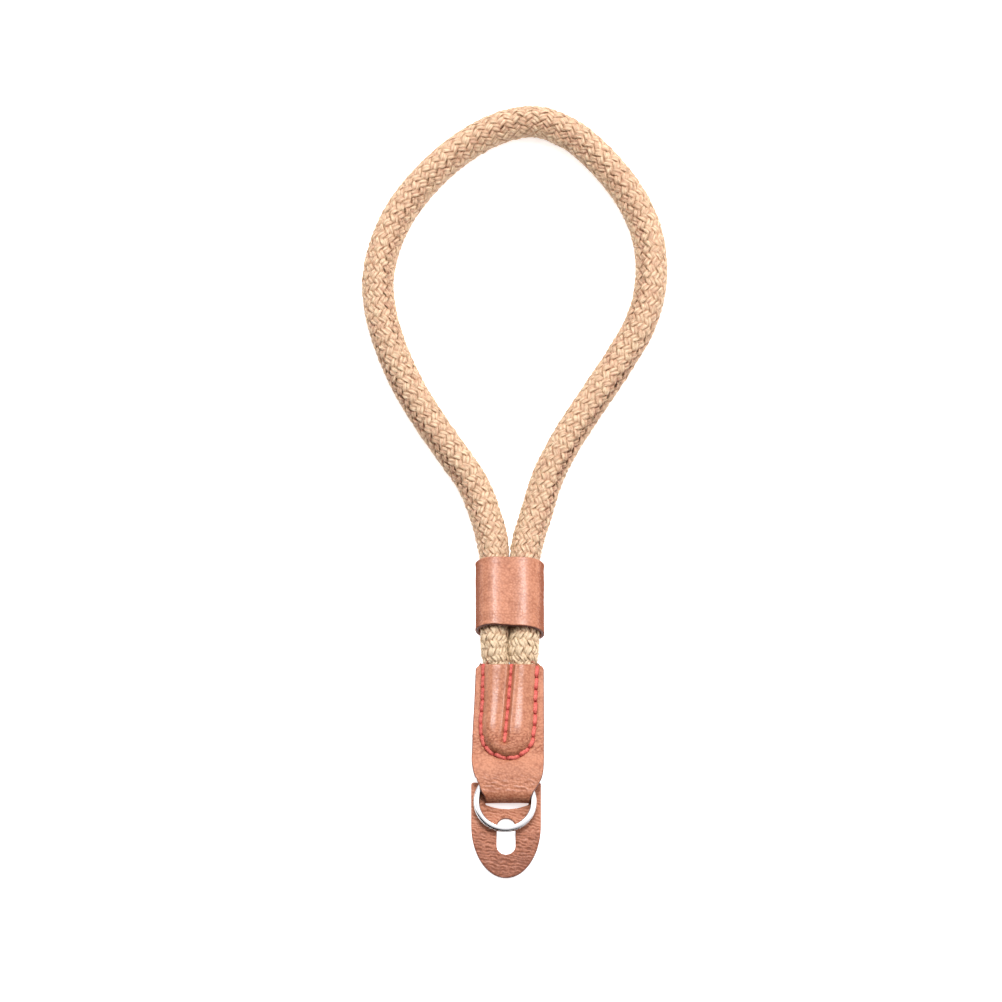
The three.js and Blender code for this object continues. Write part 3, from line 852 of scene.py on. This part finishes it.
def make_stitches():
    """Every stitch is a short length of three-ply thread that dives into its two holes."""
    sides, stations = 12, 13
    angle = np.linspace(0, 2 * math.pi, sides, endpoint=False)
    points, faces = [], []
    for face, sign in ((front_face, 1), (back_face, -1)):
        for stitch in STITCHES:
            share = np.linspace(0, 1, stations)
            marks = np.linspace(0, 1, len(stitch))
            xy = np.column_stack([np.interp(share, marks, stitch[:, c]) for c in (0, 1)])
            slant = np.array([xy[-1, 1] - xy[0, 1], xy[0, 0] - xy[-1, 0]])
            slant = slant / np.linalg.norm(slant)
            xy = xy + (share - 0.5)[:, None] * slant * 0.16
            lift = 0.32 - 1.1 * np.abs(2 * share - 1) ** 6
            z = face(xy[:, 0], xy[:, 1], holes=False) + sign * lift
            line = np.column_stack([xy, z])
            forward = unit(np.gradient(line, axis=0))
            lateral = unit(np.cross(forward, UP))
            rise = np.cross(lateral, forward)
            ply = 1 + 0.13 * np.cos(3 * (angle[None] - 3.4 * math.pi * share[:, None]))
            oval = np.stack([1.25 * np.cos(angle), np.sin(angle)], axis=-1)
            section = THREAD_RADIUS * ply[..., None] * oval
            faces += tube_faces(stations, sides, len(points) * stations * sides)
            points.append(sweep(line, lateral, rise, section))
    stitches = make_piece("tab_stitches", np.array(points), faces, THREAD, "strap")
    # Painted shade: the thread is darker near its ends, where it dives into the holes.
    ends = np.abs(np.linspace(-1, 1, stations)) ** 4
    store(stitches, "painted_shade", np.tile(np.repeat(ends, sides), len(points)))


make_tab()
make_stitches()

# --- Collar ---------------------------------------------------------------------------------------

# How far out the leather over each leg reaches, and where it is worn: left leg, right leg.
COLLAR_RIDGES = (11.4, 9.4)
COLLAR_CRESTS = (-5.3, 4.4)


def collar_outline(half_width, half_height, count):
    """Points round a flattened tube, from the left end of its underside on."""
    reach = half_width - half_height
    quarter = math.pi * half_height
    total = 2 * quarter + 4 * reach
    marks = np.linspace(0, total, count, endpoint=False)
    points = np.empty((count, 2))
    for k, mark in enumerate(marks):
        if mark < 2 * reach:
            points[k] = (-reach + mark, -half_height)
        elif mark < 2 * reach + quarter:
            turn = (mark - 2 * reach) / half_height - math.pi / 2
            points[k] = (reach + half_height * math.cos(turn), half_height * math.sin(turn))
        elif mark < 4 * reach + quarter:
            points[k] = (reach - (mark - 2 * reach - quarter), half_height)
        else:
            turn = (mark - 4 * reach - quarter) / half_height + math.pi / 2
            points[k] = (-reach + half_height * math.cos(turn), half_height * math.sin(turn))
    return points


def make_collar():
    around, along = 200, 84
    outline = collar_outline(COLLAR_HALF_WIDTH, COLLAR_HALF_HEIGHT, around)
    tangent = unit(np.roll(outline, -1, axis=0) - np.roll(outline, 1, axis=0))
    outwards = np.column_stack([tangent[:, 1], -tangent[:, 0]])
    above = outline[:, 1] > 0
    left = outline[:, 0] < 0
    ridge = np.clip(outline[:, 0] / np.where(left, *COLLAR_RIDGES), -1, 1)
    ridge = 0.5 - 0.5 * np.cos(2 * math.pi * ridge)
    off_crest = outline[:, 0] - np.where(left, *COLLAR_CRESTS)
    crest = np.exp(-((off_crest / 2) ** 2)) * above
    flank = smoothstep(np.abs(outline[:, 0]), 8.6, 10.8)
    underside = outline[:, 1] < -COLLAR_HALF_HEIGHT * 0.99
    seam = 0.35 * np.exp(-(((outline[:, 0] - 3) / 0.3) ** 2)) * underside
    share = np.linspace(0, 1, along)
    bow = [(1.0, 0.25), (1.012, 0.55), (1.0, 0.85)]
    stations = [(t, 0.0) for t in share] + bow + [(t, 1.0) for t in share[::-1]]
    stations += [(1 - t, deep) for t, deep in bow[::-1]]
    points = np.empty((len(stations), around, 3))
    for k, (t, deep) in enumerate(stations):
        y = COLLAR_START - 0.25 * (1 - t) + t * COLLAR_LENGTH
        place = np.column_stack([outline[:, 0], np.full(around, y), outline[:, 1]])
        loose = 0.09 * smooth_noise(place, 4.5, 5) + 0.05 * smooth_noise(place, 1.8, 6)
        flare = 0.12 * (smoothstep(t, 0.93, 1) + smoothstep(-t, -0.07, 0))
        floor_side = smoothstep(outline[:, 1], -COLLAR_HALF_HEIGHT, -COLLAR_HALF_HEIGHT * 0.8)
        crown = (0.15 + 0.25 * smoothstep(min(t, 1 - t), 0, 0.2)) * ridge * above
        shift = (loose + flare) * floor_side + crown - seam
        shift -= deep * (COLLAR_WALL - 0.05)
        moved = outline + outwards * shift[:, None]
        points[k, :, 0] = COLLAR_CENTRE + moved[:, 0]
        points[k, :, 1] = y - moved[:, 0] * (0.06 * (1 - t) + 0.02 * t)
        points[k, :, 2] = COLLAR_HALF_HEIGHT + moved[:, 1]
    rings = len(stations)
    faces = tube_faces(rings, around)[:-2]
    last = (rings - 1) * around
    faces += [[last + i, last + (i + 1) % around, (i + 1) % around, i] for i in range(around)]
    collar = make_piece("collar_leather", points, faces, TAB_LEATHER, "strap")
    store(collar, "flex", np.full(rings * around, 0.1))
    outside = np.array([deep == 0 for _, deep in stations], dtype=float)
    # Painted shade: darker colour on the outside of the flanks.
    store(collar, "painted_shade", np.outer(outside, 0.9 * flank).ravel())
    store(collar, "polish", np.outer(outside, crest - 0.8 * flank).ravel())
    rim = np.array([1.0 if 0 < deep < 1 else 0.0 for _, deep in stations])
    store(collar, "edge", np.repeat(rim, around))
    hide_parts("collar")


make_collar()

# --- Split ring -----------------------------------------------------------------------------------

COIL_END_GAP = 0.75  # radians that the second coil falls short
WIRE_HALF_HEIGHT, WIRE_ROUND, WIRE_OUTER_SLOPE = 0.46, 0.42, 0.88


def make_ring():
    """A flat strip wound twice, its ends and its step hidden in the folded leather."""
    stations = 420
    run = np.linspace(0, 4 * math.pi - COIL_END_GAP, stations)
    angle = run + math.pi / 2
    step = smoothstep(run, 2 * math.pi - 0.7, 2 * math.pi - 0.05) - 0.5
    radius = RING_OUTER - RING_WIDTH / 2
    outwards = np.column_stack([np.cos(angle), np.sin(angle), np.zeros(stations)])
    centre = radius * outwards + step[:, None] * UP
    section = []
    for cx, cy, start in ((1, 1, 0), (-1, 1, 90), (-1, -1, 180), (1, -1, 270)):
        slope = WIRE_OUTER_SLOPE if cx > 0 else WIRE_ROUND
        for k in range(7):
            turn = math.radians(start + 15 * k)
            section.append((
                cx * (RING_WIDTH / 2 - slope) + slope * math.cos(turn),
                cy * (WIRE_HALF_HEIGHT - WIRE_ROUND) + WIRE_ROUND * math.sin(turn),
            ))
    section = np.array(section)
    points = sweep(centre, outwards, np.broadcast_to(UP, outwards.shape), section[None])
    tilt = np.array([
        [1, 0, 0],
        [0, math.cos(RING_TILT), -math.sin(RING_TILT)],
        [0, math.sin(RING_TILT), math.cos(RING_TILT)],
    ])
    points = points @ tilt.T + RING_CENTRE
    faces = tube_faces(stations, len(section))
    ring = make_piece("ring_coils", points, faces, NICKEL, "ring")
    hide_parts("split_ring")


make_ring()

# --- Camera pad -----------------------------------------------------------------------------------

PAD_VOXEL = 0.22
WRINKLE_SPACING, WRINKLE_DEPTH = 1.12, 0.24


def arc(cx, cy, rx, ry, start, end, count):
    turn = np.radians(np.linspace(start, end, count))
    return [(cx + rx * math.cos(t), cy + ry * math.sin(t)) for t in turn]


def curved(start, control, end, count=10):
    t = np.linspace(0, 1, count)[:, None]
    a, b, c = (np.array(p, dtype=float) for p in (start, control, end))
    return [tuple(p) for p in a * (1 - t) ** 2 + 2 * b * t * (1 - t) + c * t**2]


def pad_outlines():
    w, length, corner = PAD_HALF_WIDTH, PAD_LENGTH, PAD_CORNER
    edge = arc(0, PAD_TIP, w, PAD_TIP, 180, 360, 90)
    edge += curved((w, length - corner), (w, length), (w - corner, length))
    edge += curved((corner - w, length), (-w, length), (-w, length - corner))
    start, end, half = KEYHOLE
    keyhole = arc(0, start + half, half, half, 180, 360, 30)
    keyhole += arc(0, end - half, half, half, 0, 180, 30)
    low, side, high, shift = SLOT_START, SLOT_SHOULDER, SLOT_END, SLOT_SHIFT
    left, right = shift - SLOT_HALF_WIDTH, shift + SLOT_HALF_WIDTH
    slot = [(left, side)]
    slot += curved((shift - SLOT_BOW, side), (shift, 2 * low - side), (shift + SLOT_BOW, side), 30)
    slot += curved((right, side), (right, high), (right - SLOT_CORNER, high), 8)
    slot += curved((left + SLOT_CORNER, high), (left, high), (left, side), 8)[:-1]
    return edge, keyhole, slot


def remeshed_pad(voxel):
    """The pad cut from a flat sheet with rounded cut edges, as an even mesh in millimetres."""
    data = bpy.data.curves.new("pad_cut", "CURVE")
    data.dimensions = "2D"
    data.fill_mode = "BOTH"
    round_off = 0.3
    data.extrude = PAD_THICKNESS / 2 - round_off
    data.bevel_depth = round_off
    data.bevel_resolution = 3
    data.offset = -round_off
    for outline in pad_outlines():
        spline = data.splines.new("POLY")
        spline.points.add(len(outline) - 1)
        spline.points.foreach_set("co", [v for x, y in outline for v in (x, y, 0, 1)])
        spline.use_cyclic_u = True
    cut = new_object("pad_cut", data)
    solid = bpy.data.meshes.new_from_object(cut)
    bpy.data.objects.remove(cut)
    even = new_object("pad_even", solid)
    modifier = even.modifiers.new("remesh", "REMESH")
    modifier.mode = "VOXEL"
    modifier.voxel_size = voxel
    soft = even.modifiers.new("soft", "SMOOTH")
    soft.factor, soft.iterations = 0.5, 3
    graph = bpy.context.evaluated_depsgraph_get()
    done = bpy.data.meshes.new_from_object(even.evaluated_get(graph))
    bpy.data.objects.remove(even)
    points = np.empty(len(done.vertices) * 3)
    done.vertices.foreach_get("co", points)
    faces = [list(polygon.vertices) for polygon in done.polygons]
    bpy.data.meshes.remove(done)
    return points.reshape(-1, 3), faces


def make_pad():
    points, faces = remeshed_pad(PAD_VOXEL)
    x, y, z = points.T
    level = np.clip(z / PAD_THICKNESS + 0.5, 0, 1)
    flat = np.column_stack([x, y, np.zeros(len(x))])
    warp = 0.9 * smooth_noise(flat, 2.7, 8) + 0.45 * smooth_noise(flat, 1.1, 9)
    strength = np.clip(0.55 + 1.4 * smooth_noise(flat * [0.7, 1, 1], 1.1, 10), 0.05, 1)
    wave = 0.5 + 0.5 * np.cos(2 * math.pi * (y + warp + 0.22 * x) / WRINKLE_SPACING)
    wrinkle = wave**1.5
    unevenness = 0.1 * smooth_noise(flat, 6.0, 11)
    height = PAD_THICKNESS / 2 + z + PAD_LIFT * smoothstep(y, *PAD_RISE)
    height -= level**2 * (WRINKLE_DEPTH * strength * wrinkle)
    height += level * unevenness
    placed = np.column_stack([x + PAD_CENTRE, y, height])
    pad = make_piece("pad_leather", placed, faces, PAD_LEATHER, "strap")
    store(pad, "flex", np.full(len(x), 0.05))
    # Painted shade towards the tip, painted light inside the ring where ring and fold shade it.
    darker_tip = 0.3 * (1 - smoothstep(y, 3, 14))
    lighter_end = 0.5 * smoothstep(y, 14, 19)
    # Painted shade in the wrinkle valleys, painted highlight on their crests.
    wear_and_painted_shade = strength * (0.65 * wrinkle - 0.4 * (1 - wave) ** 2)
    store(pad, "painted_shade", wear_and_painted_shade + (darker_tip - lighter_end))
    store(pad, "polish", 0.5 * strength * (1 - wave) ** 2 * (level > 0.8))
    store(pad, "edge", smoothstep(np.minimum(level, 1 - level), 0.1, 0.3))
    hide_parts("camera_pad")


make_pad()

# --- Floor and light ------------------------------------------------------------------------------


def make_floor():
    mesh = bpy.data.meshes.new("floor")
    reach = 3.0
    corners = [(-reach, -reach, 0), (reach, -reach, 0), (reach, reach, 0), (-reach, reach, 0)]
    mesh.from_pydata(corners, [], [(0, 1, 2, 3)])
    material, _, shader = new_material("floor_white")
    shader.inputs["Base Color"].default_value = (0.9, 0.9, 0.91, 1)
    shader.inputs["Roughness"].default_value = 0.9
    shader.inputs["Emission Color"].default_value = (1, 1, 1, 1)
    shader.inputs["Emission Strength"].default_value = 0.62
    mesh.materials.append(material)
    new_object("floor", mesh)


def area_light(name, place, size, power):
    data = bpy.data.lights.new(name, "AREA")
    data.shape = "RECTANGLE"
    data.size, data.size_y = size
    data.energy = power
    light = new_object(name, data)
    light.location = place
    light.visible_camera = False
    light.rotation_euler = (-Vector(place)).to_track_quat("-Z", "Y").to_euler()


make_floor()
for side in (-1, 1):
    area_light("side", (side * 0.9, 0.1, 1.0), (0.5, 1.0), 3)
area_light("key", (0, 0.47, 1.1), (0.3, 0.5), 11.6)


def studio_light():
    """Soft light from above, with a darker room low down and beyond the strap's near end."""
    world = bpy.data.worlds.new("studio")
    world.use_nodes = True
    tree = world.node_tree
    background = tree.nodes["Background"]
    direction = add(tree, "ShaderNodeTexCoord").outputs["Generated"]
    place = add(tree, "ShaderNodeSeparateXYZ", {"Vector": direction})
    forward = maths(tree, "MULTIPLY_ADD", place.outputs["X"], 0.65, place.outputs["Y"])
    away = add(tree, "ShaderNodeMapRange", {
        "Value": forward, "From Min": -0.55, "From Max": 0.15, "To Min": 0.03, "To Max": 1.8,
    })
    above = add(tree, "ShaderNodeMapRange", {
        "Value": place.outputs["Z"],
        "From Min": 0.05, "From Max": 0.7, "To Min": 0.12, "To Max": 1.0,
    })
    strength = maths(tree, "MULTIPLY", away.outputs["Result"], above.outputs["Result"])
    tree.links.new(strength, background.inputs["Strength"])
    background.inputs["Color"].default_value = (0.97, 0.95, 1, 1)
    return world


bpy.context.scene.world = studio_light()
bpy.context.scene.view_settings.view_transform = "Standard"
